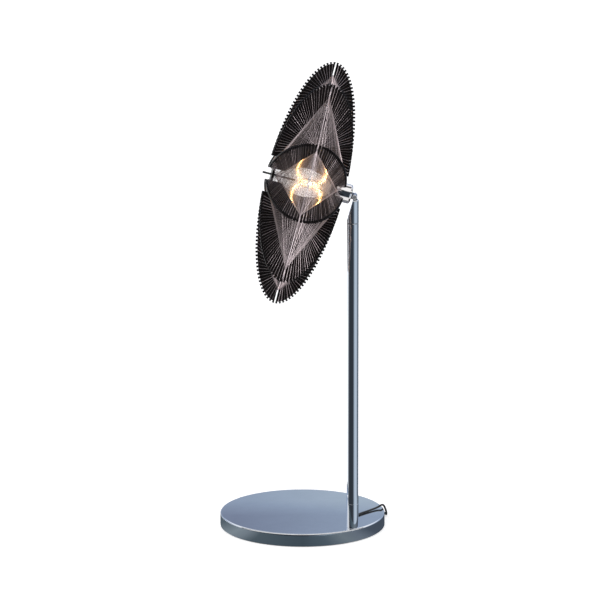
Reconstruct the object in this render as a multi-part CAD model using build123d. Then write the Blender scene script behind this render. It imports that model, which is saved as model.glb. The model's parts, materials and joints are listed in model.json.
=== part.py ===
from build123d import *
import math
import os

os.makedirs("parts", exist_ok=True)

# Bedside lamp, millimetres. Origin at the centre of the base's underside, +Z up.

# ---- base ----
BASE_R = 100.0
BASE_TOP = 16.5
COVER_T = 1.5
COVER_LOW = 0.8
COVER_EDGE = 1.6
PAD_R = 95.0
PAD_T = 3.0
WEIGHT_R = 98.3

# ---- pole ----
POLE_X, POLE_Y = 60.5, -68.0
POLE_R = 7.0
POLE_BORE = 5.8
COLLAR_R = 7.3
COLLAR_TOP = 57.4
COLLAR_SEAM = 46.3
SEAM_Z = 396.6
STUD_R = 2.5
BOSS_TOP = 36.0

# ---- swivel at the pole's top ----
FLANGE_T = 0.6
SPIGOT_R = 4.98
BUSH_BORE = 5.00
BUSH_LOW = 375.0
CLIP_R = 5.5
GROOVE_R = 4.2
CLIP_T = 0.8

# ---- tilt knuckle ----
PIVOT_Z = 429.6
PIVOT_OFF = 2.2        # pivot ahead of the pole's axis
SHOULDER = 3.9
KNUCKLE_R = 3.0
TONGUE_T = 4.0
EAR_IN, EAR_OUT = 2.4, 4.4
SCREW_R = 1.5
TILT = 14.4           # the shade's axis below the horizontal at rest
YAW = -1.9            # the head's turn about the pole at rest
AXIS_UP = 1.0         # the shade's axis above the pivot

# ---- lamp holder (distances from the pivot along the shade's axis) ----
CUP_R = 11.7
CUP_END = 4.2
CUP_FACE = 24.5
CUP_MOUTH = 31.5
NECK_R = 10.0
CUP_BORE = 8.6
HOLDER_FRONT = 38.5   # front of the ceramic lampholder

# ---- shade ----
AXIAL = 61.5          # pivot to the shade's centre
ROLL = 14.1           # the shade's turn about its own axis
FINS = 10
FIN_A, FIN_B = 48.6, 149.3
FIN_T = 3.0
WIN_A, WIN_B = 31.0, 60.0
PITCH = 4.5
NOTCH_W = 2.0
NOTCH_D = 2.4
SLOT_W = 1.7          # slot in each fin's tip, for the gathered threads
SLOT_END = 128.5
END_L, END_R = 28.0, 25.5
LAP_L, LAP_R = 30.5, 30.0
HUB_L_R, HUB_R_R = 33.0, 35.0
HUB_L_P, HUB_P = -41.0, 35.5
HUB_T = 3.0
PIN_R = 1.2
PIN_OUT, PIN_IN = -53.0, -13.0
GATHER_R = 131.0      # where the threads gather in each tip slot

# ---- lead ----
LEAD_R = 1.2
EXIT_Z = 20.2
EXIT_Y = -53.0
LEAD_POINTS = [
    (60.5, -53.0, 20.2),
    (60.8, -44.2, 19.7),
    (61.8, -34.5, 17.9),
    (64.4, -24.2, 17.8),
    (70.2, -13.4, 17.8),
    (82.2, 0.8, 17.8),
    (92.2, 12.6, 18.4),
    (98.3, 19.8, 20.9),
    (101.9, 28.0, 10.6),
    (103.0, 37.8, 1.3),
    (100.2, 49.3, 1.3),
    (93.6, 62.3, 1.3),
    (83.8, 76.6, 1.3),
    (70.6, 89.4, 1.4),
    (55.2, 98.6, 1.7),
    (37.4, 102.7, 1.75),
]
HANK_Y = 117.6
HANK_L = 44.0
HANK_LOW, HANK_HIGH = 0.5, 5.5
HANK_OUT, HANK_IN = 16.1, 6.2
TAIL_POINTS = [
    (-37.2, 101.9, 4.25),
    (-41.0, 100.7, 4.25),
    (-45.0, 98.4, 4.25),
]
PLUG_R = 4.2
PLUG_DIR = -150.0


def save(name, shape):
    export_step(shape, f"parts/{name}.step")


def rod(a, b, r):
    a, b = Vector(*a), Vector(*b)
    d = b - a
    return Solid.make_cylinder(r, d.length, Plane(origin=a, z_dir=d))


def tube(a, b, r_out, r_in):
    return rod(a, b, r_out) - rod(a, b, r_in)


def spin(points):
    # profile (radius, height) turned about Z
    face = Face(Wire.make_polygon([Vector(x, 0, z) for x, z in points], close=True))
    return revolve(face, Axis.Z, 360)


def lead(points, r):
    # round lead through runs joined by the largest tangent arcs
    pts = [Vector(*p) for p in points]
    radii = []
    for a, b, c in zip(pts, pts[1:], pts[2:]):
        u, v = b - a, c - b
        half = math.radians(u.get_angle(v)) / 2
        radii.append(0.45 * min(u.length, v.length) / math.tan(half))
    path = FilletPolyline(*pts, radius=radii)
    print("lead radii", [round(x, 1) for x in radii], "length", round(path.length, 1))
    first = pts[1] - pts[0]
    section = Plane(origin=pts[0], z_dir=first) * Circle(r)
    solid = sweep(section, path=path)
    print("  volume ratio", round(solid.volume / (math.pi * r * r * path.length), 4))
    return solid


pole = Location((POLE_X, POLE_Y, 0))

# ---------------------------------------------------------------- base
pad = Solid.make_cylinder(PAD_R, PAD_T)
pad = fillet(pad.edges().group_by(Axis.Z)[0], 0.6)
save("base_pad", pad)

cover = Solid.make_cylinder(BASE_R, BASE_TOP - COVER_LOW, Plane((0, 0, COVER_LOW)))
cover = fillet(cover.edges().group_by(Axis.Z)[-1], COVER_EDGE)
cover = chamfer(cover.edges().group_by(Axis.Z)[0], 0.4)
cover -= Solid.make_cylinder(BASE_R - COVER_T, BASE_TOP - COVER_T - COVER_LOW, Plane((0, 0, COVER_LOW)))
cover -= pole * Solid.make_cylinder(STUD_R + 0.15, 30)
save("base_cover", cover)

weight = Solid.make_cylinder(WEIGHT_R, BASE_TOP - COVER_T - PAD_T, Plane((0, 0, PAD_T)))
weight -= pole * Solid.make_cylinder(STUD_R + 0.25, 30)
weight -= pole * Solid.make_cylinder(6.3, 6.5, Plane((0, 0, PAD_T)))
save("base_weight", weight)

stud = Solid.make_cylinder(POLE_BORE, BOSS_TOP - BASE_TOP, Plane((0, 0, BASE_TOP)))
stud += Solid.make_cylinder(STUD_R, BASE_TOP - 3.6, Plane((0, 0, 3.6)))
# groove at the rear for the lead
stud -= Pos(0, 3.9, 30) * Box(3.0, 6.6, 27.0)
stud = pole * stud
save("pole_stud", stud)

washer = Solid.make_cylinder(5.0, 1.0, Plane((0, 0, 8.5))) - Solid.make_cylinder(2.65, 3.0, Plane((0, 0, 8)))
save("pole_washer", pole * washer)

nut = extrude(Plane((0, 0, 4.5)) * RegularPolygon(4.0, 6, major_radius=False), 4.0)
nut = chamfer(nut.edges().group_by(Axis.Z)[0], 0.4)
nut -= Solid.make_cylinder(STUD_R, 10, Plane((0, 0, 0)))
save("pole_nut", pole * nut)

# ---------------------------------------------------------------- pole
rear_hole = Solid.make_cylinder(2.1, 12, Plane((0, 2.0, EXIT_Z), z_dir=(0, 1, 0)))
pole_tube = tube((0, 0, BASE_TOP), (0, 0, SEAM_Z), POLE_R, POLE_BORE) - rear_hole
save("pole_tube", pole * pole_tube)

collar = spin([
    (POLE_R, BASE_TOP), (COLLAR_R, BASE_TOP), (COLLAR_R, COLLAR_SEAM - 0.2),
    (COLLAR_R - 0.25, COLLAR_SEAM), (COLLAR_R, COLLAR_SEAM + 0.2),
    (COLLAR_R, COLLAR_TOP - 0.5), (COLLAR_R - 0.4, COLLAR_TOP), (POLE_R, COLLAR_TOP),
]) - rear_hole
save("foot_collar", pole * collar)

# tapered grommet in the collar's rear, with the lead's bore
ex = Plane((0, POLE_BORE + 0.1, EXIT_Z), z_dir=(0, 1, 0))
neck = Solid.make_cylinder(2.1, COLLAR_R - POLE_BORE + 0.3, ex)
taper_len = EXIT_Y - POLE_Y - COLLAR_R - 0.05
boot = Solid.make_cone(2.7, 1.9, taper_len, Plane((0, COLLAR_R + 0.05, EXIT_Z), z_dir=(0, 1, 0)))
grommet = neck + boot
grommet -= Solid.make_cylinder(LEAD_R, 30, Plane((0, 0, EXIT_Z), z_dir=(0, 1, 0)))
save("lead_grommet", pole * grommet)

inner = Solid.make_cylinder(LEAD_R, 366 - EXIT_Z, Plane((0, 2.1, EXIT_Z)))
inner += Solid.make_sphere(LEAD_R, Plane((0, 2.1, EXIT_Z)), -90, 90, 360)
inner += Solid.make_cylinder(LEAD_R, EXIT_Y - POLE_Y - 2.1, Plane((0, 2.1, EXIT_Z), z_dir=(0, 1, 0)))
save("lead_inner", pole * inner)

bush = tube((0, 0, BUSH_LOW), (0, 0, SEAM_Z), POLE_BORE, BUSH_BORE)
bush += tube((0, 0, SEAM_Z), (0, 0, SEAM_Z + FLANGE_T), POLE_R - 0.15, BUSH_BORE)
save("swivel_bush", pole * bush)

# ---------------------------------------------------------------- swivel cap
cap_low = SEAM_Z + FLANGE_T + 0.05
cap_high = PIVOT_Z - SHOULDER
cap = Solid.make_cylinder(POLE_R, cap_high - cap_low, Plane((0, 0, cap_low)))
cap = fillet(cap.edges().group_by(Axis.Z)[-1], 1.6)
# flat cut on the shade's side, so that the cup clears the cap
cut = Face(Wire.make_polygon([Vector(PIVOT_OFF + x, -10, PIVOT_Z + z) for x, z in
                              [(-1.8, -SHOULDER), (-9.4, -30.6), (-14, -30.6), (-14, 0), (-1.8, 0)]], close=True))
cap -= extrude(cut, 20, dir=(0, 1, 0))
tongue = Face(Wire.make_polygon([Vector(PIVOT_OFF + x, -TONGUE_T / 2, PIVOT_Z + z) for x, z in
                                 [(-1.6, -5.2), (2.9, -5.2), (KNUCKLE_R, 0), (-KNUCKLE_R, 0)]], close=True))
cap += extrude(tongue, TONGUE_T, dir=(0, 1, 0))
cap += Solid.make_cylinder(KNUCKLE_R, TONGUE_T, Plane((PIVOT_OFF, -TONGUE_T / 2, PIVOT_Z), z_dir=(0, 1, 0)))
cap -= Solid.make_cylinder(SCREW_R + 0.03, 20, Plane((PIVOT_OFF, -10, PIVOT_Z), z_dir=(0, 1, 0)))
clip_high = BUSH_LOW - 0.3
cap += Solid.make_cylinder(SPIGOT_R, cap_low - (BUSH_LOW - 2.8), Plane((0, 0, BUSH_LOW - 2.8)))
cap -= tube((0, 0, clip_high - CLIP_T), (0, 0, clip_high), SPIGOT_R + 1, GROOVE_R)
turned = Location((POLE_X, POLE_Y, 0), (0, 0, YAW))
save("swivel_cap", turned * cap)

clip = tube((0, 0, clip_high - CLIP_T), (0, 0, clip_high), CLIP_R, GROOVE_R)
clip -= Pos(0, -5.0, clip_high) * Box(3.2, 3.0, 4)
save("swivel_clip", turned * clip)

# ---------------------------------------------------------------- tilt knuckle and cup
t, y = math.radians(TILT), math.radians(YAW)
axis_p = Vector(math.cos(t) * math.cos(y), math.cos(t) * math.sin(y), -math.sin(t))
up_t = Vector(math.sin(t) * math.cos(y), math.sin(t) * math.sin(y), math.cos(t))
side_y = Vector(-math.sin(y), math.cos(y), 0)
P = Vector(POLE_X + PIVOT_OFF * math.cos(y), POLE_Y + PIVOT_OFF * math.sin(y), PIVOT_Z)
print("pivot", P, "tilt axis", side_y)
# local X points from the shade to the pivot, local Y is the tilt axis
KN = Plane(origin=P, x_dir=axis_p, z_dir=up_t)
# the same on the shade's axis
KA = Plane(origin=P + up_t * AXIS_UP, x_dir=axis_p, z_dir=up_t)


def along(points):
    # profile (distance from the pivot towards the shade, radius) turned about the shade's axis
    face = Face(Wire.make_polygon([Vector(-s, 0, r) for s, r in points], close=True))
    return revolve(face, Axis.X, 360)


cup = along([
    (CUP_END, 0), (CUP_END, CUP_R - 3.0), (CUP_END + 0.8, CUP_R - 1.0), (CUP_END + 2.3, CUP_R),
    (CUP_FACE, CUP_R), (CUP_FACE, NECK_R), (CUP_MOUTH, NECK_R), (CUP_MOUTH, CUP_BORE),
    (7.0, CUP_BORE), (7.0, 0),
])
cup = Pos(0, 0, AXIS_UP) * cup
for side in (-1, 1):
    y0 = EAR_IN if side > 0 else -EAR_OUT
    ear = Solid.make_cylinder(KNUCKLE_R, EAR_OUT - EAR_IN, Plane((0, y0, 0), z_dir=(0, 1, 0)))
    ear += Pos(-(CUP_END + 0.8) / 2, y0 + (EAR_OUT - EAR_IN) / 2, 0) * Box(CUP_END + 0.8, EAR_OUT - EAR_IN, 2 * KNUCKLE_R)
    cup += ear
cup -= Solid.make_cylinder(SCREW_R, 20, Plane((0, -10, 0), z_dir=(0, 1, 0)))
# wire passage through the cup's end
cup -= Solid.make_cylinder(1.6, 6, Plane((-9, 0, 6.0), z_dir=(1, 0, 0)))
save("holder_cup", KN.location * cup)

wash = []
for side in (-1, 1):
    a, b = (2.05, EAR_IN) if side > 0 else (-EAR_IN, -2.05)
    wash.append(KN.location * tube((0, a, 0), (0, b, 0), KNUCKLE_R - 0.1, SCREW_R))
save("tilt_washers", Compound(wash))

# button-head screw with its hex socket towards the front, and its nut behind
screw = Solid.make_cylinder(SCREW_R, EAR_OUT * 2 + 2.6, Plane((0, -EAR_OUT, 0), z_dir=(0, 1, 0)))
head = Solid.make_cylinder(2.85, 1.7, Plane((0, -EAR_OUT - 1.7, 0), z_dir=(0, 1, 0)))
head = fillet(head.edges().group_by(Axis.Y)[0], 1.1)
screw += head
screw -= extrude(Plane((0, -EAR_OUT - 1.75, 0), z_dir=(0, 1, 0)) * RegularPolygon(1.0, 6, major_radius=False), 1.25)
save("tilt_screw", KN.location * screw)

tnut = extrude(Plane((0, EAR_OUT, 0), z_dir=(0, 1, 0)) * RegularPolygon(2.75, 6, major_radius=False), 2.4)
tnut = chamfer(tnut.edges().group_by(Axis.Y)[-1], 0.3)
tnut -= Solid.make_cylinder(SCREW_R, 20, Plane((0, 0, 0), z_dir=(0, 1, 0)))
save("tilt_nut", KN.location * tnut)

# ---------------------------------------------------------------- lampholder and bulb
PIN_GAP = 3.175
holder = along([
    (9.0, 0), (9.0, CUP_BORE - 0.1), (CUP_MOUTH + 0.05, CUP_BORE - 0.1), (CUP_MOUTH + 0.05, NECK_R - 0.2),
    (HOLDER_FRONT - 1.0, NECK_R - 0.2), (HOLDER_FRONT, NECK_R - 1.2), (HOLDER_FRONT, 0),
])
holder -= Pos(-36.0, 0, 0) * Box(5.8, 3.9, 9.9)
for side in (-1, 1):
    holder -= Solid.make_cylinder(0.7, 20, Plane((-33.5, 0, side * PIN_GAP), z_dir=(1, 0, 0)))
    holder -= Pos(-17.5, 0, side * PIN_GAP) * Box(9.2, 3.0, 3.0)
save("lampholder", KA.location * holder)

contacts = []
for side in (-1, 1):
    c = Pos(-17.5, 0, side * PIN_GAP) * Box(8.8, 2.8, 2.8)
    c -= Solid.make_cylinder(0.5, 20, Plane((-34, 0, side * PIN_GAP), z_dir=(1, 0, 0)))
    contacts.append(KA.location * c)
save("holder_contacts", Compound(contacts))

BULB_R = 5.9
dome = [(62.5 + 6.5 * math.sin(a), BULB_R * math.cos(a)) for a in [math.radians(x) for x in range(0, 90, 9)]]
dome_in = [(62.3 + 5.8 * math.sin(a), (BULB_R - 0.8) * math.cos(a)) for a in [math.radians(x) for x in range(0, 90, 9)]]
outer = along([(40.5, 0), (40.5, 3.4), (43.5, BULB_R)] + dome + [(69.0, 0)])
inner_g = along([(42.0, 0), (42.0, 2.7), (44.4, BULB_R - 0.8)] + dome_in + [(68.1, 0)])
glass = outer - inner_g
pinch = Pos(-37.0, 0, 0) * Box(7.6, 3.6, 9.6)
pinch = fillet(pinch.edges().filter_by(Axis.X), 1.2)
glass += pinch
for side in (-1, 1):
    glass -= Solid.make_cylinder(0.5, 9.3, Plane((-42.3, 0, side * PIN_GAP), z_dir=(1, 0, 0)))
glass -= Pos(-42.2, 0, 0) * Box(2.8, 1.4, 2 * PIN_GAP + 1.0)
save("bulb_glass", KA.location * glass)

pins = [KA.location * Solid.make_cylinder(0.5, 23.6, Plane((-42.0, 0, side * PIN_GAP), z_dir=(1, 0, 0))) for side in (-1, 1)]
save("bulb_pins", Compound(pins))

FIL = 55.7
fil = rod((-FIL + 3.2, 0, 0), (-FIL - 3.2, 0, 0), 1.1)
fil += rod((-42.05, 0, PIN_GAP), (-44.5, 0, 3.0), 0.25) + Solid.make_sphere(0.25, Plane((-44.5, 0, 3.0)), -90, 90, 360)
fil += rod((-44.5, 0, 3.0), (-FIL + 3.0, 0, 0.7), 0.25)
fil += rod((-42.05, 0, -PIN_GAP), (-44.5, 0, -3.4), 0.25) + Solid.make_sphere(0.25, Plane((-44.5, 0, -3.4)), -90, 90, 360)
fil += rod((-44.5, 0, -3.4), (-FIL - 3.0, 0, -3.4), 0.25) + Solid.make_sphere(0.25, Plane((-FIL - 3.0, 0, -3.4)), -90, 90, 360)
fil += rod((-FIL - 3.0, 0, -3.4), (-FIL - 3.0, 0, -0.6), 0.25)
save("bulb_filament", KA.location * fil)

# ---------------------------------------------------------------- shade
C = P - axis_p * AXIAL + up_t * AXIS_UP
e = math.radians(ROLL)
# radial direction of the first fin: up, leaning back by the roll about the shade's axis
U = up_t * math.cos(e) + side_y * math.sin(e)
# local X along the axis, local Z along the first fin
SH = Plane(origin=C, x_dir=axis_p, z_dir=U)


def around(i):
    return Location((0, 0, 0), (360.0 / FINS * i, 0, 0))


shade_ring = Solid.make_cylinder(13.0, 3.0, Plane((HUB_P - HUB_T / 2 - 3.0, 0, 0), z_dir=(1, 0, 0)))
shade_ring -= Solid.make_cylinder(NECK_R, 10.0, Plane((HUB_P - 8, 0, 0), z_dir=(1, 0, 0)))
for i in range(12):
    shade_ring -= Location((0, 0, 0), (30.0 * i, 0, 0)) * (Pos(HUB_P - 3, 0, 13.4) * Box(5.0, 2.0, 2.0))
save("shade_ring", SH.location * shade_ring)


def hub(p, r, bore, lap):
    h = Solid.make_cylinder(r, HUB_T, Plane((p - HUB_T / 2, 0, 0), z_dir=(1, 0, 0)))
    h -= Solid.make_cylinder(bore, HUB_T * 3, Plane((p - HUB_T * 1.5, 0, 0), z_dir=(1, 0, 0)))
    for i in range(FINS):
        h -= around(i) * (Pos(p, 0, lap + 5.0) * Box(HUB_T * 2, FIN_T + 0.06, 10.0))
    return h


save("hub_right", SH.location * hub(HUB_P, HUB_R_R, NECK_R, LAP_R))
save("hub_left", SH.location * hub(HUB_L_P, HUB_L_R, PIN_R, LAP_L))

hub_pin = Solid.make_cylinder(PIN_R, PIN_IN - PIN_OUT, Plane((PIN_OUT, 0, 0), z_dir=(1, 0, 0)))
hub_pin = fillet(hub_pin.edges().filter_by(GeomType.CIRCLE), 0.4)
save("hub_pin", SH.location * hub_pin)

# arc length along the fin's outer half ellipse, measured from the tip
STEPS = 4000
arc = [0.0]
for n in range(STEPS):
    a0, a1 = math.pi / 2 * n / STEPS, math.pi / 2 * (n + 1) / STEPS
    arc.append(arc[-1] + math.hypot(FIN_A * (math.sin(a1) - math.sin(a0)), FIN_B * (math.cos(a1) - math.cos(a0))))


def at_arc(s):
    # point of the outer ellipse and its outward normal; s < 0 is the left side
    q = abs(s)
    lo, hi = 0, STEPS
    while hi - lo > 1:
        mid = (lo + hi) // 2
        if arc[mid] <= q:
            lo = mid
        else:
            hi = mid
    f = (q - arc[lo]) / (arc[hi] - arc[lo])
    a = math.pi / 2 * (lo + f) / STEPS
    sign = -1 if s < 0 else 1
    x, z = sign * FIN_A * math.sin(a), FIN_B * math.cos(a)
    nx, nz = x / FIN_A ** 2, z / FIN_B ** 2
    m = math.hypot(nx, nz)
    return x, z, nx / m, nz / m


def count(end):
    k = 1
    while at_arc(k * PITCH + NOTCH_W / 2 + 1.2)[1] > end:
        k += 1
    return k - 1


K_LEFT, K_RIGHT = count(END_L + 3.0), count(END_R)
print("notches", K_LEFT, K_RIGHT)
NOTCHES = [k for k in range(-K_LEFT, K_RIGHT + 1) if k]


def ell_p(a, b, r):
    return a * math.sqrt(1 - (r / b) ** 2)


g = (HUB_T + 0.06) / 2
outline = [(-ell_p(FIN_A, FIN_B, END_L), END_L)]
for k in range(-K_LEFT, K_RIGHT + 1):
    x, z, nx, nz = at_arc(k * PITCH)
    xa, za, _, _ = at_arc(k * PITCH - NOTCH_W / 2)
    xb, zb, _, _ = at_arc(k * PITCH + NOTCH_W / 2)
    if k == 0:
        outline += [(-SLOT_W / 2, FIN_B - 0.02), (-SLOT_W / 2, SLOT_END + 0.4), (-SLOT_W / 2 + 0.4, SLOT_END), (SLOT_W / 2 - 0.4, SLOT_END),
                    (SLOT_W / 2, SLOT_END + 0.4), (SLOT_W / 2, FIN_B - 0.02)]
    else:
        depth = NOTCH_D
        outline += [(xa, za), (x - nz * NOTCH_W / 2 - nx * depth, z + nx * NOTCH_W / 2 - nz * depth),
                    (x + nz * NOTCH_W / 2 - nx * depth, z - nx * NOTCH_W / 2 - nz * depth), (xb, zb)]
outline += [(ell_p(FIN_A, FIN_B, END_R), END_R),
            (HUB_P + g, END_R), (HUB_P + g, LAP_R), (HUB_P - g, LAP_R), (HUB_P - g, END_R),
            (ell_p(WIN_A, WIN_B, END_R), END_R)]
a_r = math.asin(END_R / WIN_B)
a_l = math.pi - math.asin(END_L / WIN_B)
WN = 56
outline += [(WIN_A * math.cos(a_r + (a_l - a_r) * n / WN), WIN_B * math.sin(a_r + (a_l - a_r) * n / WN)) for n in range(1, WN + 1)]
outline += [(HUB_L_P + g, END_L), (HUB_L_P + g, LAP_L), (HUB_L_P - g, LAP_L), (HUB_L_P - g, END_L)]
fin_face = Face(Wire.make_polygon([Vector(x, -FIN_T / 2, z) for x, z in outline], close=True))
fin = extrude(fin_face, FIN_T, dir=(0, 1, 0))
for i in range(FINS):
    save(f"fin_{i + 1:02d}", SH.location * (around(i) * fin))

# threads: from the tip slot of each fin to the notches of its neighbour,
# each fan one thin closed sheet that stays clear of both fins
CLEAR = FIN_T / 2 + 0.4
SHEET = 0.35
wedge = math.radians(360.0 / FINS)


def radial(i, extra=0.0):
    f = wedge * i + extra
    return Vector(0, -math.sin(f), math.cos(f))


def fan(i, j):
    s0 = radial(i) * GATHER_R
    w = radial((i + j) / 2) * SHEET
    near, far = [], []
    picks = NOTCHES[::6]
    if picks[-1] != NOTCHES[-1]:
        picks.append(NOTCHES[-1])
    for k in picks:
        x, z, nx, nz = at_arc(k * PITCH)
        x, z = x - nx * 2.2, z - nz * 2.2
        target = Vector(x, 0, 0) + radial(j) * z
        f0 = CLEAR / (z * math.sin(wedge))
        f1 = 1 - CLEAR / (GATHER_R * math.sin(wedge))
        near.append(s0 + (target - s0) * f0)
        far.append(s0 + (target - s0) * f1)
    faces = []

    def poly(*pts):
        faces.append(Face(Wire.make_polygon(list(pts), close=True)))

    n = len(near)
    for q in range(n - 1):
        for off in (Vector(0, 0, 0), w):
            poly(near[q] + off, far[q] + off, far[q + 1] + off)
            poly(near[q] + off, far[q + 1] + off, near[q + 1] + off)
        poly(far[q], far[q + 1], far[q + 1] + w, far[q] + w)
        poly(near[q], near[q + 1], near[q + 1] + w, near[q] + w)
    for q in (0, n - 1):
        poly(near[q], far[q], far[q] + w, near[q] + w)
    return Solid(Shell(faces))


for name, step in (("threads_a", 1), ("threads_b", -1)):
    fans = [SH.location * fan(i, i + step) for i in range(FINS)]
    print(name, "volume", round(sum(f.volume for f in fans)), all(f.is_valid for f in fans))
    save(name, Compound(fans))

# ---------------------------------------------------------------- lead outside the lamp
save("cord_lead", lead(LEAD_POINTS, LEAD_R))


def track(r, low, high):
    s = Pos(0, HANK_Y, low) * Box(HANK_L, 2 * r, high - low, align=(Align.CENTER, Align.CENTER, Align.MIN))
    for q in (-1, 1):
        s += Solid.make_cylinder(r, high - low, Plane((q * HANK_L / 2, HANK_Y, low)))
    return s


hank = track(HANK_OUT, HANK_LOW, HANK_HIGH) - track(HANK_IN, HANK_LOW - 1, HANK_HIGH + 1)
save("cord_hank", hank)

# strap round the middle of the hank
strap_t = 0.4
strap = Pos(0, HANK_Y, (HANK_LOW + HANK_HIGH) / 2) * Box(8.0, 2 * HANK_OUT + 2 * strap_t, HANK_HIGH - HANK_LOW + 2 * strap_t)
strap = fillet(strap.edges().filter_by(Axis.X), 1.0)
strap -= Pos(0, HANK_Y, (HANK_LOW + HANK_HIGH) / 2) * Box(20.0, 2 * HANK_OUT, HANK_HIGH - HANK_LOW)
save("cord_tie", strap)

save("cord_tail", lead(TAIL_POINTS, LEAD_R))

# connector at the far end
d_plug = Vector(math.cos(math.radians(PLUG_DIR)), math.sin(math.radians(PLUG_DIR)), 0)
PL = Plane(origin=Vector(*TAIL_POINTS[-1]), x_dir=d_plug, z_dir=(0, 0, 1))
plug = along([(0, 0), (0, 1.9), (-9.0, 2.7), (-9.6, PLUG_R - 0.6), (-10.4, PLUG_R), (-25.0, PLUG_R), (-26.0, PLUG_R - 0.8), (-26.0, 0)])
for n in range(3):
    plug -= tube((2.0 + 2.2 * n, 0, 0), (2.9 + 2.2 * n, 0, 0), 5.0, 1.7)
for n in range(12):
    plug -= Location((0, 0, 0), (30.0 * n, 0, 0)) * (Pos(17.5, 0, PLUG_R + 0.35) * Box(11.0, 0.9, 1.2))
save("connector_body", PL.location * plug)
barrel = tube((26.0, 0, 0), (35.5, 0, 0), 2.75, 2.35) + tube((26.0, 0, 0), (35.2, 0, 0), 1.6, 1.05)
barrel += rod((26.0, 0, 0), (26.6, 0, 0), 2.75)
save("connector_barrel", PL.location * barrel)
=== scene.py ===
import json
import math

import bmesh
import bpy
from mathutils import Matrix, Vector

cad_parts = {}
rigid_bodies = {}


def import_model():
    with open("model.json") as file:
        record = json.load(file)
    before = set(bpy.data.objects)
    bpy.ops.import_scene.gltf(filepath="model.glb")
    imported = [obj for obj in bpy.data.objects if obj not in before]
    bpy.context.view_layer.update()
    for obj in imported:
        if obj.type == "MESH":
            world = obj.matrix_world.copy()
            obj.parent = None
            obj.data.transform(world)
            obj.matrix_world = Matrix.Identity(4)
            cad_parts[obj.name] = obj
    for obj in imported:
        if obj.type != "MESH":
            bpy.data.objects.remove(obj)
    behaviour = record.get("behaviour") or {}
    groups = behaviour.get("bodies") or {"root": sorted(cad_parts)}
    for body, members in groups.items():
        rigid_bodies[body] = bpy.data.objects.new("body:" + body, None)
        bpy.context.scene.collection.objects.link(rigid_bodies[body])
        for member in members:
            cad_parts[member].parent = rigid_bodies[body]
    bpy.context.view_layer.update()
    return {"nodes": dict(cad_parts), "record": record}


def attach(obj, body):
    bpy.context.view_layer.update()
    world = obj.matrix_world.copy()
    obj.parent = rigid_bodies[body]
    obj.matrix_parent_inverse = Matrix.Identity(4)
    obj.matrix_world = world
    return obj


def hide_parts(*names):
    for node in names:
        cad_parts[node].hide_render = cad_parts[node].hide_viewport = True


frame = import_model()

scene = bpy.context.scene
nodes = frame["nodes"]
BODY = {n: b for b, group in frame["record"]["behaviour"]["bodies"].items() for n in group}
SLOT = {s["node"]: s["material_slot"] for s in frame["record"]["subparts"]}
MM = 0.001

# ------------------------------------------------------------------ camera
cam_data = bpy.data.cameras.new("camera")
cam = bpy.data.objects.new("camera", cam_data)
scene.collection.objects.link(cam)
cam_data.sensor_width = 36.0
cam_data.lens = 591.13
cam_data.clip_start, cam_data.clip_end = 0.5, 60.0
cam.location = (-0.003045, -11.537798, 3.324910)
cam.rotation_euler = (math.radians(75.2298), 0.0, 0.0)
scene.camera = cam

# ------------------------------------------------------------------ dimensions of the lamp, millimetres
POLE_X, POLE_Y, POLE_R = 60.5, -68.0, 7.0
BASE_R, BASE_TOP = 100.0, 16.5
COLLAR_R, COLLAR_TOP, COLLAR_SEAM = 7.3, 57.4, 46.3
SEAM_Z = 396.6
PIVOT_Z, PIVOT_OFF = 429.6, 2.2
TILT, YAW, AXIS_UP = math.radians(14.4), math.radians(-1.9), 1.0
AXIAL, ROLL = 61.5, math.radians(14.1)
FINS, FIN_A, FIN_B, FIN_T = 10, 48.6, 149.3, 3.0
WIN_A, WIN_B = 31.0, 60.0
PITCH, NOTCH_W, NOTCH_D, SLOT_W, SLOT_END = 4.5, 2.0, 2.4, 1.7, 128.5
END_L, END_R, LAP_L, LAP_R = 28.0, 25.5, 30.5, 30.0
HUB_L_P, HUB_P, HUB_T = -41.0, 35.5, 3.0
THREAD_R = 0.19

# frame of the shade: local X along its axis towards the pole, local Z along the first fin
axis_p = Vector((math.cos(TILT) * math.cos(YAW), math.cos(TILT) * math.sin(YAW), -math.sin(TILT)))
up_t = Vector((math.sin(TILT) * math.cos(YAW), math.sin(TILT) * math.sin(YAW), math.cos(TILT)))
side_y = Vector((-math.sin(YAW), math.cos(YAW), 0.0))
pivot = Vector((POLE_X + PIVOT_OFF * math.cos(YAW), POLE_Y + PIVOT_OFF * math.sin(YAW), PIVOT_Z))
centre = pivot - axis_p * AXIAL + up_t * AXIS_UP
first = up_t * math.cos(ROLL) + side_y * math.sin(ROLL)
second = first.cross(axis_p)


def frame_matrix(origin, x, y, z):
    m = Matrix.Identity(4)
    for c, v in enumerate((x, y, z)):
        for r in range(3):
            m[r][c] = v[r]
    for r in range(3):
        m[r][3] = origin[r] * MM
    return m


SHADE = frame_matrix(centre, axis_p, second, first)
BULB = frame_matrix(pivot + up_t * AXIS_UP, axis_p, side_y, up_t)


# ------------------------------------------------------------------ mesh helpers
def add(name, mesh, body, mat, replaces=(), matrix=None):
    obj = bpy.data.objects.new(name, mesh)
    scene.collection.objects.link(obj)
    if matrix is not None:
        mesh.transform(matrix)
        mesh.update()
    if mat is not None:
        mesh.materials.clear()
        mesh.materials.append(mat)
    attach(obj, body)
    if replaces:
        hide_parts(*replaces)
    return obj


def smooth(mesh, angle=30.0):
    mesh.polygons.foreach_set("use_smooth", [True] * len(mesh.polygons))
    mesh.set_sharp_from_angle(angle=math.radians(angle))
    mesh.update()


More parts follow.
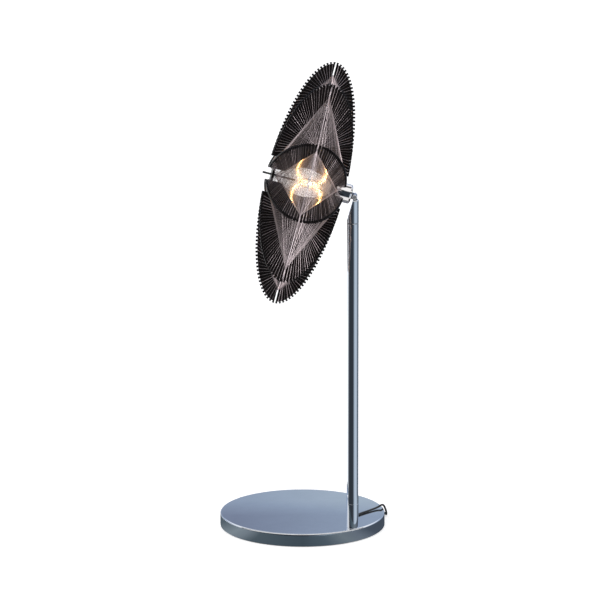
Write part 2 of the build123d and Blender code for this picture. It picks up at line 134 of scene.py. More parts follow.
def lathe(name, profile, segments, at=(0.0, 0.0), angle=30.0):
    # closed profile (radius, height) in millimetres turned about a vertical axis
    verts, faces, rings = [], [], []
    for r, z in profile:
        if r < 1e-6:
            rings.append([len(verts)])
            verts.append((at[0] * MM, at[1] * MM, z * MM))
        else:
            rings.append(list(range(len(verts), len(verts) + segments)))
            for s in range(segments):
                a = 2 * math.pi * s / segments
                verts.append(((at[0] + r * math.cos(a)) * MM, (at[1] + r * math.sin(a)) * MM, z * MM))
    n = len(profile)
    for i in range(n):
        a, b = rings[i], rings[(i + 1) % n]
        if len(a) == 1 and len(b) == 1:
            continue
        for s in range(segments):
            t = (s + 1) % segments
            if len(a) == 1:
                faces.append((a[0], b[t], b[s]))
            elif len(b) == 1:
                faces.append((a[s], a[t], b[0]))
            else:
                faces.append((a[s], a[t], b[t], b[s]))
    mesh = bpy.data.meshes.new(name)
    mesh.from_pydata(verts, [], faces)
    bm = bmesh.new()
    bm.from_mesh(mesh)
    bmesh.ops.recalc_face_normals(bm, faces=bm.faces)
    bm.to_mesh(mesh)
    bm.free()
    smooth(mesh, angle)
    return mesh


def arc_pts(cx, cz, r, a0, a1, n):
    return [(cx + r * math.cos(math.radians(a0 + (a1 - a0) * i / n)), cz + r * math.sin(math.radians(a0 + (a1 - a0) * i / n))) for i in range(n + 1)]


def tube_into(verts, faces, points, radius, sides, closed, ref, dirs=None):
    # round tube along a polyline; ref gives a direction that never runs along it
    n = len(points)
    base = len(verts)
    for i, p in enumerate(points):
        a = points[(i - 1) % n] if closed or i else p
        b = points[(i + 1) % n] if closed or i < n - 1 else p
        t = Vector((0, 0, 0))
        if (p - a).length > 1e-9:
            t += (p - a).normalized()
        if (b - p).length > 1e-9:
            t += (b - p).normalized()
        t.normalize()
        r = ref(p)
        u = r - t * r.dot(t)
        u.normalize()
        v = t.cross(u)
        for s in range(sides):
            f = 2 * math.pi * s / sides
            verts.append(p + (u * math.cos(f) + v * math.sin(f)) * radius)
    for i in range(n if closed else n - 1):
        a, b = base + i * sides, base + ((i + 1) % n) * sides
        run = (points[(i + 1) % n] - points[i]).normalized()
        for s in range(sides):
            t = (s + 1) % sides
            faces.append((a + s, a + t, b + t, b + s))
            if dirs is not None:
                dirs.append(run)
    if not closed:
        faces.append(tuple(base + s for s in reversed(range(sides))))
        faces.append(tuple(base + (n - 1) * sides + s for s in range(sides)))


# ------------------------------------------------------------------ material helpers
def start(name):
    m = bpy.data.materials.new(name)
    m.use_nodes = True
    nt = m.node_tree
    return m, nt, nt.nodes["Principled BSDF"]


def coords(nt, scale=(1, 1, 1)):
    tc = nt.nodes.new("ShaderNodeTexCoord")
    mp = nt.nodes.new("ShaderNodeMapping")
    mp.inputs["Scale"].default_value = scale
    nt.links.new(tc.outputs["Object"], mp.inputs["Vector"])
    return mp.outputs["Vector"]


def noise(nt, scale, detail=4.0, rough=0.55, stretch=(1, 1, 1)):
    n = nt.nodes.new("ShaderNodeTexNoise")
    n.inputs["Scale"].default_value = scale
    n.inputs["Detail"].default_value = detail
    n.inputs["Roughness"].default_value = rough
    nt.links.new(coords(nt, stretch), n.inputs["Vector"])
    return n.outputs["Fac"]


def ramp(nt, fac, stops, mode="LINEAR"):
    r = nt.nodes.new("ShaderNodeValToRGB")
    r.color_ramp.interpolation = mode
    e = r.color_ramp.elements
    while len(e) < len(stops):
        e.new(0.5)
    for el, (pos, col) in zip(e, stops):
        el.position = pos
        el.color = (*col, 1.0) if len(col) == 3 else col
    nt.links.new(fac, r.inputs["Fac"])
    return r.outputs["Color"]


def remap(nt, fac, a, b, c, d):
    m = nt.nodes.new("ShaderNodeMapRange")
    for key, v in (("From Min", a), ("From Max", b), ("To Min", c), ("To Max", d)):
        m.inputs[key].default_value = v
    nt.links.new(fac, m.inputs["Value"])
    return m.outputs["Result"]


def bump(nt, bsdf, height, strength, distance):
    b = nt.nodes.new("ShaderNodeBump")
    b.inputs["Strength"].default_value = strength
    b.inputs["Distance"].default_value = distance
    nt.links.new(height, b.inputs["Height"])
    nt.links.new(b.outputs["Normal"], bsdf.inputs["Normal"])


def chrome(name, color=(0.80, 0.83, 0.87), low=0.03, high=0.075, smear=(1, 1, 1)):
    m, nt, b = start(name)
    b.inputs["Metallic"].default_value = 1.0
    soft = noise(nt, 35.0, 5.0, 0.6, smear)
    c0, c1 = color, tuple(min(1.0, v * 1.05) for v in color)
    nt.links.new(ramp(nt, soft, [(0.35, c0), (0.65, c1)]), b.inputs["Base Color"])
    fine = noise(nt, 240.0, 3.0, 0.5, smear)
    nt.links.new(remap(nt, fine, 0.3, 0.7, low, high), b.inputs["Roughness"])
    bump(nt, b, noise(nt, 90.0, 2.0, 0.4, smear), 0.02, 0.0002)
    return m


def plastic(name, c0, c1, low, high, spec=0.5, scale=300.0, grain=0.08, depth=0.0001):
    m, nt, b = start(name)
    b.inputs["Specular IOR Level"].default_value = spec
    nt.links.new(ramp(nt, noise(nt, scale * 0.25, 4.0), [(0.35, c0), (0.68, c1)]), b.inputs["Base Color"])
    nt.links.new(remap(nt, noise(nt, scale * 0.6, 5.0), 0.3, 0.7, low, high), b.inputs["Roughness"])
    bump(nt, b, noise(nt, scale * 3.0, 3.0), grain, depth)
    return m


CHROME = chrome("chrome")
CHROME_POLE = chrome("chrome_pole", (0.78, 0.81, 0.85), 0.03, 0.07, (1, 1, 0.12))
CHROME_CUP = chrome("chrome_cup", (0.84, 0.83, 0.84), 0.03, 0.07)
STEEL = chrome("steel", (0.52, 0.53, 0.55), 0.18, 0.34)
BRASS = chrome("brass", (0.80, 0.60, 0.28), 0.15, 0.30)
ACRYLIC = plastic("acrylic", (0.0065, 0.0058, 0.0060), (0.0105, 0.0095, 0.0098), 0.24, 0.38, 0.035, 120.0, 0.01, 0.0001)
ACRYLIC_HUB = plastic("acrylic_hub", (0.0065, 0.0058, 0.0060), (0.0105, 0.0095, 0.0098), 0.24, 0.38, 0.045, 140.0, 0.01, 0.0001)
LEAD = plastic("lead_black", (0.010, 0.010, 0.011), (0.017, 0.017, 0.018), 0.34, 0.52, 0.45, 400.0, 0.10, 0.00006)
RUBBER = plastic("rubber", (0.014, 0.014, 0.015), (0.024, 0.024, 0.025), 0.60, 0.82, 0.35, 500.0, 0.25, 0.0001)
IRON = plastic("weight_iron", (0.05, 0.05, 0.052), (0.09, 0.088, 0.086), 0.55, 0.80, 0.4, 300.0, 0.35, 0.0003)
NYLON = plastic("nylon", (0.76, 0.76, 0.73), (0.84, 0.84, 0.81), 0.30, 0.45, 0.45, 300.0, 0.05, 0.00005)
NYLON_DARK = plastic("nylon_dark", (0.03, 0.032, 0.035), (0.05, 0.052, 0.056), 0.30, 0.45, 0.45, 300.0, 0.05, 0.00005)
SATIN = chrome("satin", (0.90, 0.91, 0.93), 0.30, 0.42)
CERAMIC = plastic("ceramic", (0.62, 0.55, 0.46), (0.70, 0.63, 0.54), 0.38, 0.60, 0.45, 600.0, 0.18, 0.00008)
RING = plastic("ring_black", (0.012, 0.012, 0.012), (0.02, 0.02, 0.02), 0.30, 0.48, 0.4, 400.0, 0.12, 0.00008)


def thread_material():
    # nylon: a little light scatters back, more passes on along the strand's cone
    m, nt, b = start("thread")
    b.inputs["Specular IOR Level"].default_value = 0.15
    each = nt.nodes.new("ShaderNodeNewGeometry").outputs["Random Per Island"]
    nt.links.new(ramp(nt, each, [(0.0, (0.03, 0.026, 0.027)), (0.6, (0.06, 0.052, 0.054)), (1.0, (0.30, 0.26, 0.27))]), b.inputs["Base Color"])
    nt.links.new(remap(nt, noise(nt, 500.0, 2.0), 0.3, 0.7, 0.28, 0.38), b.inputs["Roughness"])
    along = nt.nodes.new("ShaderNodeAttribute")
    along.attribute_name = "along"
    turn = nt.nodes.new("ShaderNodeVectorTransform")
    turn.vector_type, turn.convert_from, turn.convert_to = "VECTOR", "OBJECT", "WORLD"
    nt.links.new(along.outputs["Vector"], turn.inputs["Vector"])
    strand = nt.nodes.new("ShaderNodeBsdfHair")
    strand.component = "Transmission"
    strand.inputs["Color"].default_value = (0.45, 0.44, 0.42, 1.0)
    strand.inputs["RoughnessU"].default_value = 0.006
    strand.inputs["RoughnessV"].default_value = 0.30
    nt.links.new(turn.outputs["Vector"], strand.inputs["Tangent"])
    sheen = nt.nodes.new("ShaderNodeBsdfHair")
    sheen.component = "Reflection"
    nt.links.new(ramp(nt, each, [(0.0, (0.14, 0.122, 0.127)), (0.6, (0.30, 0.267, 0.277)), (1.0, (0.56, 0.51, 0.52))]), sheen.inputs["Color"])
    sheen.inputs["RoughnessU"].default_value = 0.06
    sheen.inputs["RoughnessV"].default_value = 0.6
    nt.links.new(turn.outputs["Vector"], sheen.inputs["Tangent"])
    gloss = nt.nodes.new("ShaderNodeMixShader")
    gloss.inputs["Fac"].default_value = 0.5
    nt.links.new(strand.outputs[0], gloss.inputs[1])
    nt.links.new(sheen.outputs[0], gloss.inputs[2])
    body = nt.nodes.new("ShaderNodeMixShader")
    body.inputs["Fac"].default_value = 0.55
    nt.links.new(b.outputs[0], body.inputs[1])
    nt.links.new(gloss.outputs[0], body.inputs[2])
    nt.links.new(body.outputs[0], nt.nodes["Material Output"].inputs["Surface"])
    return m


THREAD = thread_material()
THREAD_CORE = plastic("thread_core", (0.30, 0.267, 0.28), (0.38, 0.34, 0.353), 0.30, 0.42, 0.5, 300.0, 0.05, 0.00003)


def glass_material():
    m, nt, b = start("bulb_glass")
    b.inputs["Base Color"].default_value = (0.98, 0.98, 0.97, 1.0)
    b.inputs["Transmission Weight"].default_value = 1.0
    b.inputs["IOR"].default_value = 1.46
    nt.links.new(remap(nt, noise(nt, 220.0, 3.0), 0.3, 0.75, 0.0, 0.03), b.inputs["Roughness"])
    return m


GLASS = glass_material()


def glow_material():
    m, nt, b = start("filament")
    b.inputs["Base Color"].default_value = (0.2, 0.16, 0.12, 1.0)
    b.inputs["Roughness"].default_value = 0.5
    b.inputs["Emission Strength"].default_value = 120.0
    nt.links.new(ramp(nt, noise(nt, 300.0, 2.0), [(0.3, (1.0, 0.62, 0.27)), (0.7, (1.0, 0.70, 0.36))]), b.inputs["Emission Color"])
    return m


GLOW = glow_material()
GLOW.cycles.emission_sampling = "NONE"

# ------------------------------------------------------------------ the lead
LEAD_POINTS = [
    (60.5, -53.0, 20.2),
    (60.8, -44.2, 19.7),
    (61.8, -34.5, 17.9),
    (64.4, -24.2, 17.8),
    (70.2, -13.4, 17.8),
    (82.2, 0.8, 17.8),
    (92.2, 12.6, 18.4),
    (98.3, 19.8, 20.9),
    (101.9, 28.0, 10.6),
    (103.0, 37.8, 1.3),
    (100.2, 49.3, 1.3),
    (93.6, 62.3, 1.3),
    (83.8, 76.6, 1.3),
    (70.6, 89.4, 1.4),
    (55.2, 98.6, 1.7),
    (37.4, 102.7, 1.75),
]
TAIL_POINTS = [(-37.2, 101.9, 4.25), (-41.0, 100.7, 4.25), (-45.0, 98.4, 4.25)]
HANK_Y, HANK_L = 117.6, 44.0
LOW, HIGH = 1.75, 4.25


def bend(right, r0, r1, z0, z1):
    # control points of one fold of the hank, clockwise seen from above
    pts = []
    for i in range(7):
        f = i / 6
        a = math.radians((90 - 180 * f) if right else (-90 - 180 * f))
        r = r0 + (r1 - r0) * f
        if 0 < i < 6:
            r /= math.cos(math.radians(15))
        x = HANK_L / 2 if right else -HANK_L / 2
        pts.append((x + r * math.cos(a), HANK_Y + r * math.sin(a), z0 + (z1 - z0) * f))
    return pts


hank = []
for r, r_next in ((14.9, 12.4), (12.4, 9.9), (9.9, 7.4)):
    hank += bend(False, r, r, LOW, LOW) + bend(True, r, r_next, LOW, LOW)
hank += bend(False, 7.4, 7.4, LOW, LOW) + bend(True, 7.4, 7.4, HIGH, HIGH)
for r, r_next in ((7.4, 9.9), (9.9, 12.4), (12.4, 14.9)):
    hank += bend(False, r, r_next, HIGH, HIGH) + bend(True, r_next, r_next, HIGH, HIGH)
route = LEAD_POINTS + hank + TAIL_POINTS

curve = bpy.data.curves.new("lead", "CURVE")
curve.dimensions = "3D"
spline = curve.splines.new("NURBS")
spline.points.add(len(route) - 1)
for pt, (x, y, z) in zip(spline.points, route):
    pt.co = (x * MM, y * MM, z * MM, 1.0)
spline.order_u = 3
spline.use_endpoint_u = True
curve.resolution_u = 8
curve.bevel_depth = 1.2 * MM
curve.bevel_resolution = 4
curve.use_fill_caps = True
lead = bpy.data.objects.new("lead", curve)
scene.collection.objects.link(lead)
curve.materials.append(LEAD)
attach(lead, "stand")
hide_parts("cord_lead", "cord_hank", "cord_tail")

# ------------------------------------------------------------------ base and pole
cover_profile = [(0, BASE_TOP)] + [(BASE_R - 1.6 + x, BASE_TOP - 1.6 + z) for x, z in arc_pts(0, 0, 1.6, 90, 0, 8)]
cover_profile += [(BASE_R, 1.2), (BASE_R - 0.4, 0.8), (BASE_R - 1.5, 0.8), (BASE_R - 1.5, BASE_TOP - 1.5), (0, BASE_TOP - 1.5)]
add("base_shell", lathe("base_shell", cover_profile, 288), "stand", CHROME, ["base_cover"])

pole_profile = [(POLE_R - 1.2, BASE_TOP), (POLE_R, BASE_TOP), (POLE_R, SEAM_Z - 0.25), (POLE_R - 0.25, SEAM_Z), (POLE_R - 1.2, SEAM_Z)]
add("pole", lathe("pole", pole_profile, 96, (POLE_X, POLE_Y)), "stand", CHROME_POLE, ["pole_tube"])

collar_profile = [(POLE_R, BASE_TOP), (COLLAR_R - 0.3, BASE_TOP), (COLLAR_R, BASE_TOP + 0.3), (COLLAR_R, COLLAR_SEAM - 0.2),
                  (COLLAR_R - 0.25, COLLAR_SEAM), (COLLAR_R, COLLAR_SEAM + 0.2), (COLLAR_R, COLLAR_TOP - 4.0),
                  (POLE_R + 0.02, COLLAR_TOP), (POLE_R, COLLAR_TOP)]
add("collar", lathe("collar", collar_profile, 96, (POLE_X, POLE_Y), 25.0), "stand", CHROME_POLE, ["foot_collar"])

# ------------------------------------------------------------------ fins
STEPS = 4000
arc = [0.0]
for n in range(STEPS):
    a0, a1 = math.pi / 2 * n / STEPS, math.pi / 2 * (n + 1) / STEPS
    arc.append(arc[-1] + math.hypot(FIN_A * (math.sin(a1) - math.sin(a0)), FIN_B * (math.cos(a1) - math.cos(a0))))


def at_arc(s):
    q = abs(s)
    lo, hi = 0, STEPS
    while hi - lo > 1:
        mid = (lo + hi) // 2
        if arc[mid] <= q:
            lo = mid
        else:
            hi = mid
    f = (q - arc[lo]) / (arc[hi] - arc[lo])
    a = math.pi / 2 * (lo + f) / STEPS
    sign = -1 if s < 0 else 1
    x, z = sign * FIN_A * math.sin(a), FIN_B * math.cos(a)
    nx, nz = x / FIN_A ** 2, z / FIN_B ** 2
    m = math.hypot(nx, nz)
    return x, z, nx / m, nz / m


def count(end):
    k = 1
    while at_arc(k * PITCH + NOTCH_W / 2 + 1.2)[1] > end:
        k += 1
    return k - 1


def ell_p(a, b, r):
    return a * math.sqrt(1 - (r / b) ** 2)


K_LEFT, K_RIGHT = count(END_L + 3.0), count(END_R)
NOTCHES = [k for k in range(-K_LEFT, K_RIGHT + 1) if k]

g = (HUB_T + 0.06) / 2
outline = [(-ell_p(FIN_A, FIN_B, END_L), END_L)]
for k in range(-K_LEFT, K_RIGHT + 1):
    x, z, nx, nz = at_arc(k * PITCH)
    xa, za, _, _ = at_arc(k * PITCH - NOTCH_W / 2)
    xb, zb, _, _ = at_arc(k * PITCH + NOTCH_W / 2)
    if k == 0:
        outline += [(-SLOT_W / 2, FIN_B - 0.02), (-SLOT_W / 2, SLOT_END + 0.4), (-SLOT_W / 2 + 0.4, SLOT_END), (SLOT_W / 2 - 0.4, SLOT_END),
                    (SLOT_W / 2, SLOT_END + 0.4), (SLOT_W / 2, FIN_B - 0.02)]
    else:
        outline += [(xa, za), (x - nz * NOTCH_W / 2 - nx * NOTCH_D, z + nx * NOTCH_W / 2 - nz * NOTCH_D),
                    (x + nz * NOTCH_W / 2 - nx * NOTCH_D, z - nx * NOTCH_W / 2 - nz * NOTCH_D), (xb, zb)]
outline += [(ell_p(FIN_A, FIN_B, END_R), END_R),
            (HUB_P + g, END_R), (HUB_P + g, LAP_R), (HUB_P - g, LAP_R), (HUB_P - g, END_R),
            (ell_p(WIN_A, WIN_B, END_R), END_R)]
a_r = math.asin(END_R / WIN_B)
a_l = math.pi - math.asin(END_L / WIN_B)
WN = 168
outline += [(WIN_A * math.cos(a_r + (a_l - a_r) * n / WN), WIN_B * math.sin(a_r + (a_l - a_r) * n / WN)) for n in range(1, WN + 1)]
outline += [(HUB_L_P + g, END_L), (HUB_L_P + g, LAP_L), (HUB_L_P - g, LAP_L), (HUB_L_P - g, END_L)]

# the outline runs clockwise in (x, z); a small flat bevel runs round both faces
BEV = 0.22
n_out = len(outline)
inner = []
for i in range(n_out):
    p0, p1, p2 = (Vector(outline[(i + q) % n_out]) for q in (-1, 0, 1))
    d0, d1 = (p1 - p0).normalized(), (p2 - p1).normalized()
    n0, n1 = Vector((d0.y, -d0.x)), Vector((d1.y, -d1.x))
    b = n0 + n1
    b = b / max(0.35, b.dot(n0)) if b.length > 1e-6 else n0
    inner.append(p1 + b * BEV)
h = FIN_T / 2
rings = [(inner, -h), (outline, -h + BEV), (outline, h - BEV), (inner, h)]
fin_verts = [(p[0] * MM, y * MM, p[1] * MM) for ring, y in rings for p in ring]
fin_faces = []
for q in range(3):
    a, b = q * n_out, (q + 1) * n_out
    for i in range(n_out):
        j = (i + 1) % n_out
        fin_faces.append((a + i, a + j, b + j, b + i))
fin_faces.append(tuple(range(n_out)))
fin_faces.append(tuple(reversed(range(3 * n_out, 4 * n_out))))
fin_mesh = bpy.data.meshes.new("fin")
fin_mesh.from_pydata(fin_verts, [], fin_faces)
bm = bmesh.new()
bm.from_mesh(fin_mesh)
bmesh.ops.recalc_face_normals(bm, faces=bm.faces)
bm.to_mesh(fin_mesh)
bm.free()
fin_mesh.materials.append(ACRYLIC)
fin_mesh.update()
for i in range(FINS):
    turn = Matrix.Rotation(math.radians(36.0 * i), 4, "X")
    plate = fin_mesh.copy()
    plate.name = f"fin_plate_{i + 1:02d}"
    add(plate.name, plate, "head", ACRYLIC, [f"fin_{i + 1:02d}"], SHADE @ turn)

# ------------------------------------------------------------------ threads
# Every thread runs once round the shade: over a notch of one fin, through the tip slot of the next,
# over the same notch of the one after. The odd and the even fins have a set each.
wedge = 2 * math.pi / FINS
STRUNG = bpy.data.collections.new("strung")


def shade_point(i, x, y, z):
    f = wedge * i
    return Vector((x, y * math.cos(f) - z * math.sin(f), y * math.sin(f) + z * math.cos(f)))


def pile(k):
    # place of thread k in a tip slot, two by two: the threads to the hubs lie lowest
    layer, col = divmod(max(K_LEFT, K_RIGHT) - abs(k), 2)
    return (0.19 + 0.36 * col) * (1 if k > 0 else -1), SLOT_END + 0.22 + 0.29 * layer


for parity, name, node in ((0, "threads_even", "threads_a"), (1, "threads_odd", "threads_b")):
    verts, faces, dirs = [], [], []
    for k in NOTCHES:
        x, z, nx, nz = at_arc(k * PITCH)
        depth = NOTCH_D - THREAD_R
        nxk, nzk = x - nx * depth, z - nz * depth
        sx, sz = pile(k)
        loop = []
        for i in range(FINS):
            at = (sx, sz) if (i + parity) % 2 else (nxk, nzk)
            for y in (FIN_T / 2, -FIN_T / 2):
                loop.append(shade_point(i, at[0], y, at[1]))
        edge = 2.1 if k in (-K_LEFT, 1 - K_LEFT, K_RIGHT - 1, K_RIGHT) else 1.0
        full = THREAD_R * edge * (0.72 + 0.5 * math.modf(abs(math.sin(k * 12.9898 + parity * 4.1) * 437.5853))[0])
        tube_into(verts, faces, loop, full, 6, True, lambda p: Vector((1.0, 0.0, 0.0)) if p.yz.length < 1 else Vector((0.35, p.y, p.z)).normalized(), dirs)
    top = SLOT_END + 0.45 + 0.29 * (max(K_LEFT, K_RIGHT) // 2)
    side = 0.3 if parity else -0.3
    loop = [shade_point(i, side, y, top) for i in range(FINS) for y in (FIN_T / 2, -FIN_T / 2)]
    plain = len(faces)
    tube_into(verts, faces, loop, 0.24, 6, True, lambda p: Vector((0.35, p.y, p.z)).normalized(), dirs)
    mesh = bpy.data.meshes.new(name)
    mesh.from_pydata([v * MM for v in verts], [], faces)
    mesh.polygons.foreach_set("use_smooth", [True] * len(mesh.polygons))
    mesh.update()
    along = mesh.attributes.new("along", "FLOAT_VECTOR", "FACE")
    turned = SHADE.to_3x3()
    along.data.foreach_set("vector", [c for d in dirs for c in turned @ d])
    strung = add(name, mesh, "head", THREAD, [node], SHADE)
    strung.visible_shadow = False
    STRUNG.objects.link(strung)
    mesh.materials.append(THREAD_CORE)
    for poly in mesh.polygons[plain:]:
        poly.material_index = 1

# ------------------------------------------------------------------ bulb: coiled filament and its supports
verts, faces = [], []
FIL, PIN_GAP = 55.7, 3.175
coil = []
turns, steps = 6, 20
for n in range(turns * steps + 1):
    a = 2 * math.pi * n / steps
    coil.append(Vector((-FIL + 1.7 - 3.4 * n / (turns * steps), 0.7 * math.cos(a), 0.7 * math.sin(a))))
tube_into(verts, faces, coil, 0.2, 8, False, lambda p: Vector((1.0, 0.02, 0.01)).normalized())
coil_mesh = bpy.data.meshes.new("filament_coil")
coil_mesh.from_pydata([v * MM for v in verts], [], faces)
smooth(coil_mesh, 60.0)
coil_obj = add("filament_coil", coil_mesh, "head", GLOW, ["bulb_filament"], BULB)

# the bulb's light, carried along with the filament: its hot core and the soft glow round it
for name, radius, power, color in (("bulb_core", 0.0014, 0.48, (1.0, 0.53, 0.18)), ("bulb_glow", 0.026, 0.10, (1.0, 0.84, 0.86))):
    halo = bpy.data.lights.new(name, "POINT")
    halo.shadow_soft_size = radius
    halo.energy = power
    halo.color = color
    halo_obj = bpy.data.objects.new(name, halo)
    scene.collection.objects.link(halo_obj)
    halo_obj.location = BULB @ Vector((-FIL * MM, 0.0, 0.0))
    bpy.context.view_layer.update()
    halo_obj.parent = coil_obj
    halo_obj.matrix_parent_inverse = coil_obj.matrix_world.inverted()
    halo_obj.visible_camera = False
    halo_obj.light_linking.receiver_collection = STRUNG
coil_obj.visible_shadow = False

verts, faces = [], []
wires = [
    [(-42.05, 0, PIN_GAP), (-44.5, 0, 3.0), (-48.0, 0, 2.3), (-FIL + 1.7, 0, 0.7)],
    [(-42.05, 0, -PIN_GAP), (-44.5, 0, -3.4), (-50.0, 0, -3.45), (-FIL - 1.1, 0, -3.4), (-FIL - 1.7, 0, -2.8), (-FIL - 1.7, 0, 0.7)],
]
for w in wires:
    tube_into(verts, faces, [Vector(p) for p in w], 0.22, 8, False, lambda p: Vector((0.0, 1.0, 0.0)))
wire_mesh = bpy.data.meshes.new("filament_wires")
wire_mesh.from_pydata([v * MM for v in verts], [], faces)
smooth(wire_mesh, 60.0)
add("filament_wires", wire_mesh, "head", STEEL, [], BULB)

# ------------------------------------------------------------------ finishes of the carried-over pieces
FINISH = {
    "base_pad": RUBBER, "base_weight": IRON, "pole_stud": STEEL, "pole_nut": STEEL, "pole_washer": STEEL,
    "swivel_bush": NYLON_DARK, "lead_grommet": RUBBER, "lead_inner": LEAD, "cord_tie": RUBBER,
    "connector_body": LEAD, "connector_barrel": STEEL, "swivel_cap": CHROME_POLE, "swivel_clip": STEEL,
    "holder_cup": CHROME_CUP, "tilt_screw": SATIN, "tilt_nut": STEEL, "tilt_washers": NYLON, "lampholder": CERAMIC,
    "holder_contacts": BRASS, "shade_ring": RING, "hub_right": ACRYLIC_HUB, "hub_left": ACRYLIC_HUB, "hub_pin": RING,
    "bulb_glass": GLASS, "bulb_pins": STEEL,
}
for name, mat in FINISH.items():
    data = nodes[name].data
    data.materials.clear()
    data.materials.append(mat)
nodes["bulb_glass"].visible_shadow = False

# ------------------------------------------------------------------ floor, light and surroundings
floor_mesh = bpy.data.meshes.new("floor")
floor_mesh.from_pydata([(-14, -14, 0), (14, -14, 0), (14, 14, 0), (-14, 14, 0)], [], [(0, 1, 2, 3)])
floor = bpy.data.objects.new("floor", floor_mesh)
scene.collection.objects.link(floor)
m, nt, b = start("floor")
b.inputs["Base Color"].default_value = (0.86, 0.86, 0.86, 1.0)
b.inputs["Roughness"].default_value = 0.9
b.inputs["Specular IOR Level"].default_value = 0.0
b.inputs["Emission Color"].default_value = (1.0, 1.0, 1.0, 1.0)
b.inputs["Emission Strength"].default_value = 0.50
m.cycles.emission_sampling = "NONE"
floor_mesh.materials.append(m)
floor.visible_glossy = False

# dark table-top card around the base, seen only in reflections
ring_mesh = lathe("table_card", [(101.0, -0.4), (175.0, -0.4), (175.0, -0.6), (101.0, -0.6)], 96)
card = bpy.data.objects.new("table_card", ring_mesh)
scene.collection.objects.link(card)
m, nt, b = start("table_card")
b.inputs["Base Color"].default_value = (0.0, 0.0, 0.0, 1.0)
b.inputs["Specular IOR Level"].default_value = 0.0
b.inputs["Emission Strength"].default_value = 1.0
place = nt.nodes.new("ShaderNodeSeparateXYZ")
nt.links.new(coords(nt), place.inputs["Vector"])
flip = nt.nodes.new("ShaderNodeMath")
flip.operation = "MULTIPLY"
flip.inputs[1].default_value = -1.0
nt.links.new(place.outputs["Y"], flip.inputs[0])
angle = nt.nodes.new("ShaderNodeMath")
angle.operation = "ARCTAN2"
nt.links.new(place.outputs["X"], angle.inputs[0])
nt.links.new(flip.outputs[0], angle.inputs[1])
nt.links.new(ramp(nt, remap(nt, angle.outputs[0], -math.pi, math.pi, 0.0, 1.0), [((d + 180.0) / 360.0, c) for d, c in (
    (-180, (0.085, 0.105, 0.13)), (-95, (0.10, 0.13, 0.155)), (-68, (0.24, 0.285, 0.315)), (-55, (0.19, 0.225, 0.255)), (-42, (0.085, 0.112, 0.132)),
    (0, (0.058, 0.080, 0.098)), (20, (0.085, 0.115, 0.14)), (38, (0.165, 0.20, 0.225)), (54, (0.145, 0.172, 0.21)), (70, (0.072, 0.090, 0.118)), (110, (0.06, 0.075, 0.10)), (180, (0.085, 0.105, 0.13)))]),
    b.inputs["Emission Color"])
m.cycles.emission_sampling = "NONE"
ring_mesh.materials.append(m)
card.visible_camera = card.visible_diffuse = card.visible_shadow = card.visible_transmission = False

# pale card behind the lamp, seen only in the base's polished top
card_mesh = bpy.data.meshes.new("rear_card")
card_mesh.from_pydata([(-0.3, 0.6, 0.09), (0.3, 0.6, 0.09), (0.3, 0.6, 0.30), (-0.3, 0.6, 0.30)], [], [(0, 1, 2, 3)])
rear = bpy.data.objects.new("rear_card", card_mesh)
scene.collection.objects.link(rear)
m, nt, b = start("rear_card")
b.inputs["Base Color"].default_value = (0.0, 0.0, 0.0, 1.0)
b.inputs["Specular IOR Level"].default_value = 0.0
b.inputs["Emission Strength"].default_value = 1.0
place = nt.nodes.new("ShaderNodeSeparateXYZ")
nt.links.new(coords(nt), place.inputs["Vector"])
across = remap(nt, place.outputs["X"], -0.1, 0.1, 0.0, 0.5)
down = remap(nt, place.outputs["Z"], 0.205, 0.145, 0.0, 0.5)
total = nt.nodes.new("ShaderNodeMath")
total.operation = "ADD"
nt.links.new(across, total.inputs[0])
nt.links.new(down, total.inputs[1])
nt.links.new(ramp(nt, total.outputs[0], [(0.0, (0.215, 0.255, 0.355)), (0.5, (0.305, 0.372, 0.49)), (1.0, (0.42, 0.50, 0.595))]), b.inputs["Emission Color"])
m.cycles.emission_sampling = "NONE"
card_mesh.materials.append(m)
rear.visible_camera = rear.visible_diffuse = rear.visible_shadow = rear.visible_transmission = False

world = bpy.data.worlds.new("studio")
scene.world = world
world.use_nodes = True
nt = world.node_tree
bg = nt.nodes["Background"]
tc = nt.nodes.new("ShaderNodeTexCoord")
sep = nt.nodes.new("ShaderNodeSeparateXYZ")
nt.links.new(tc.outputs["Generated"], sep.inputs["Vector"])


def math_node(op, a, b=None):
    n = nt.nodes.new("ShaderNodeMath")
    n.operation = op
    for i, v in enumerate((a, b)):
        if v is None:
            continue
        if isinstance(v, (int, float)):
            n.inputs[i].default_value = v
        else:
            nt.links.new(v, n.inputs[i])
    return n.outputs[0]


def mix(fac, a, b):
    n = nt.nodes.new("ShaderNodeMix")
    n.data_type = "RGBA"
    nt.links.new(fac, n.inputs["Factor"])
    for v, key in ((a, "A"), (b, "B")):
        sock = [s for s in n.inputs if s.name == key and s.type == "RGBA"][0]
        if isinstance(v, tuple):
            sock.default_value = (*v, 1.0)
        else:
            nt.links.new(v, sock)
    return [s for s in n.outputs if s.type == "RGBA"][0]


X, Y, Z = sep.outputs["X"], sep.outputs["Y"], sep.outputs["Z"]
back = math_node("MULTIPLY", Y, -1.0)
# angle in the vertical plane towards the viewer: front horizon 0, overhead 90, rear horizon 180
theta = math_node("ADD", math_node("DIVIDE", math_node("ARCTAN2", Z, back), 2 * math.pi), 0.5)
# bearing: 0 towards the viewer, positive to the right
azim = math_node("ADD", math_node("DIVIDE", math_node("ARCTAN2", X, back), 2 * math.pi), 0.5)


def deg(stops):
    return [((d + 180.0) / 360.0, c) for d, c in stops]


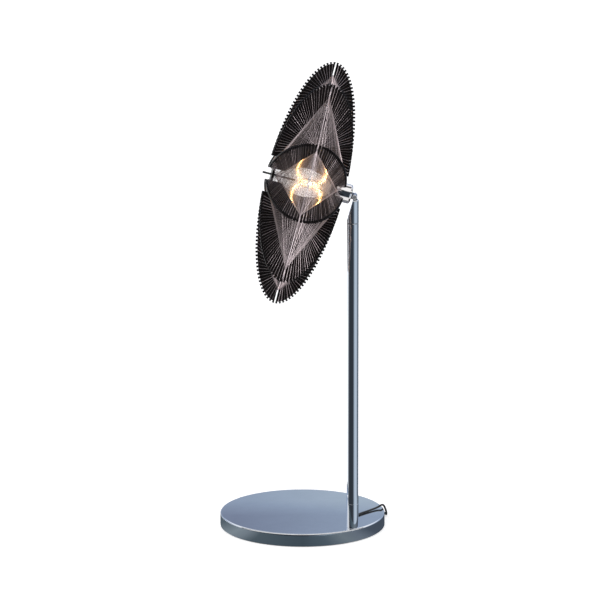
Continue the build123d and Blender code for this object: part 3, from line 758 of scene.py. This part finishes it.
DARK, BLUE = (0.035, 0.042, 0.052), (0.36, 0.44, 0.60)
arch = ramp(nt, theta, deg([
    (-180, (0.20, 0.24, 0.31)), (-120, (0.05, 0.05, 0.06)), (-80, (0.07, 0.06, 0.06)), (-72, (0.95, 0.93, 0.92)), (-34, (0.90, 0.89, 0.89)),
    (-27, DARK), (34, DARK), (42, (1.05, 1.03, 1.02)), (82, (1.1, 1.08, 1.06)), (90, (0.10, 0.10, 0.11)),
    (107, (0.10, 0.10, 0.11)), (115, (1.0, 0.99, 1.0)), (148, (0.80, 0.85, 0.95)), (158, BLUE), (172, BLUE), (180, (0.26, 0.32, 0.44)),
]))
band = ramp(nt, azim, deg([
    (-180, (1.3, 1.3, 1.3)), (-140, (1.3, 1.3, 1.3)), (-110, (1.15, 1.17, 1.2)), (-88, (0.12, 0.14, 0.17)), (-62, DARK), (6, DARK),
    (20, (0.14, 0.17, 0.21)), (34, (0.46, 0.54, 0.63)), (70, (0.56, 0.64, 0.74)), (94, (0.34, 0.40, 0.48)), (110, (0.12, 0.15, 0.18)), (180, (0.16, 0.19, 0.22)),
]))
low = math_node("MULTIPLY", remap(nt, Z, -0.52, -0.45, 0.0, 1.0), remap(nt, Z, -0.02, -0.10, 0.0, 1.0))
sky = mix(low, arch, band)
nt.links.new(sky, bg.inputs["Color"])
bg.inputs["Strength"].default_value = 1.0


def area(name, loc, target, size, power, color=(1, 1, 1)):
    d = bpy.data.lights.new(name, "AREA")
    d.shape = "RECTANGLE"
    d.size, d.size_y = size
    d.energy = power
    d.color = color
    o = bpy.data.objects.new(name, d)
    scene.collection.objects.link(o)
    o.location = loc
    o.rotation_euler = (Vector(target) - Vector(loc)).to_track_quat("-Z", "Y").to_euler()
    o.visible_glossy = False
    return o


# the studio lights leave the threads out, so that the fans over the black fins stay dark
UNLIT = bpy.data.collections.new("unlit")
for o in STRUNG.objects:
    UNLIT.objects.link(o)
for item in UNLIT.collection_objects:
    item.light_linking.link_state = "EXCLUDE"
key = area("key", (-1.6, -2.2, 2.0), (0, 0, 0.35), (1.2, 1.2), 24.0, (1.0, 0.97, 0.96))
fill = area("fill", (1.9, -1.8, 1.4), (0, 0, 0.35), (1.2, 1.2), 10.0, (0.96, 0.98, 1.0))
for o in (key, fill):
    o.light_linking.receiver_collection = UNLIT

# three soft lights for the threads alone: over the shade and a little behind it, under its front, and before it
for name, loc, target, size, power in (("strand_top", (0.0, 0.18, 1.15), (0, -0.06, 0.45), (0.8, 0.4), 12.0),
                                       ("strand_low", (0.0, -0.27, 0.004), (0, -0.27, 0.4), (0.5, 0.5), 8.4),
                                       ("strand_front", (0.0, -1.2, 1.1), (0, -0.1, 0.41), (0.6, 0.25), 22.0)):
    o = area(name, loc, target, size, power, (1.0, 0.95, 0.96))
    o.visible_glossy = True
    o.visible_camera = False
    o.light_linking.receiver_collection = STRUNG

scene.view_settings.view_transform = "Standard"

# soft bloom around the lit filament
scene.use_nodes = True
ct = scene.node_tree
ct.nodes.clear()
rl = ct.nodes.new("CompositorNodeRLayers")
gl = ct.nodes.new("CompositorNodeGlare")
co = ct.nodes.new("CompositorNodeComposite")
gl.glare_type = "BLOOM"
gl.quality = "HIGH"
gl.inputs["Threshold"].default_value = 2.0
gl.inputs["Clamp"].default_value = True
gl.inputs["Maximum"].default_value = 60.0
gl.inputs["Strength"].default_value = 0.12
gl.inputs["Size"].default_value = 0.35
gl.inputs["Tint"].default_value = (1.0, 0.78, 0.5, 1.0)
ct.links.new(rl.outputs["Image"], gl.inputs["Image"])
ct.links.new(gl.outputs["Image"], co.inputs["Image"])
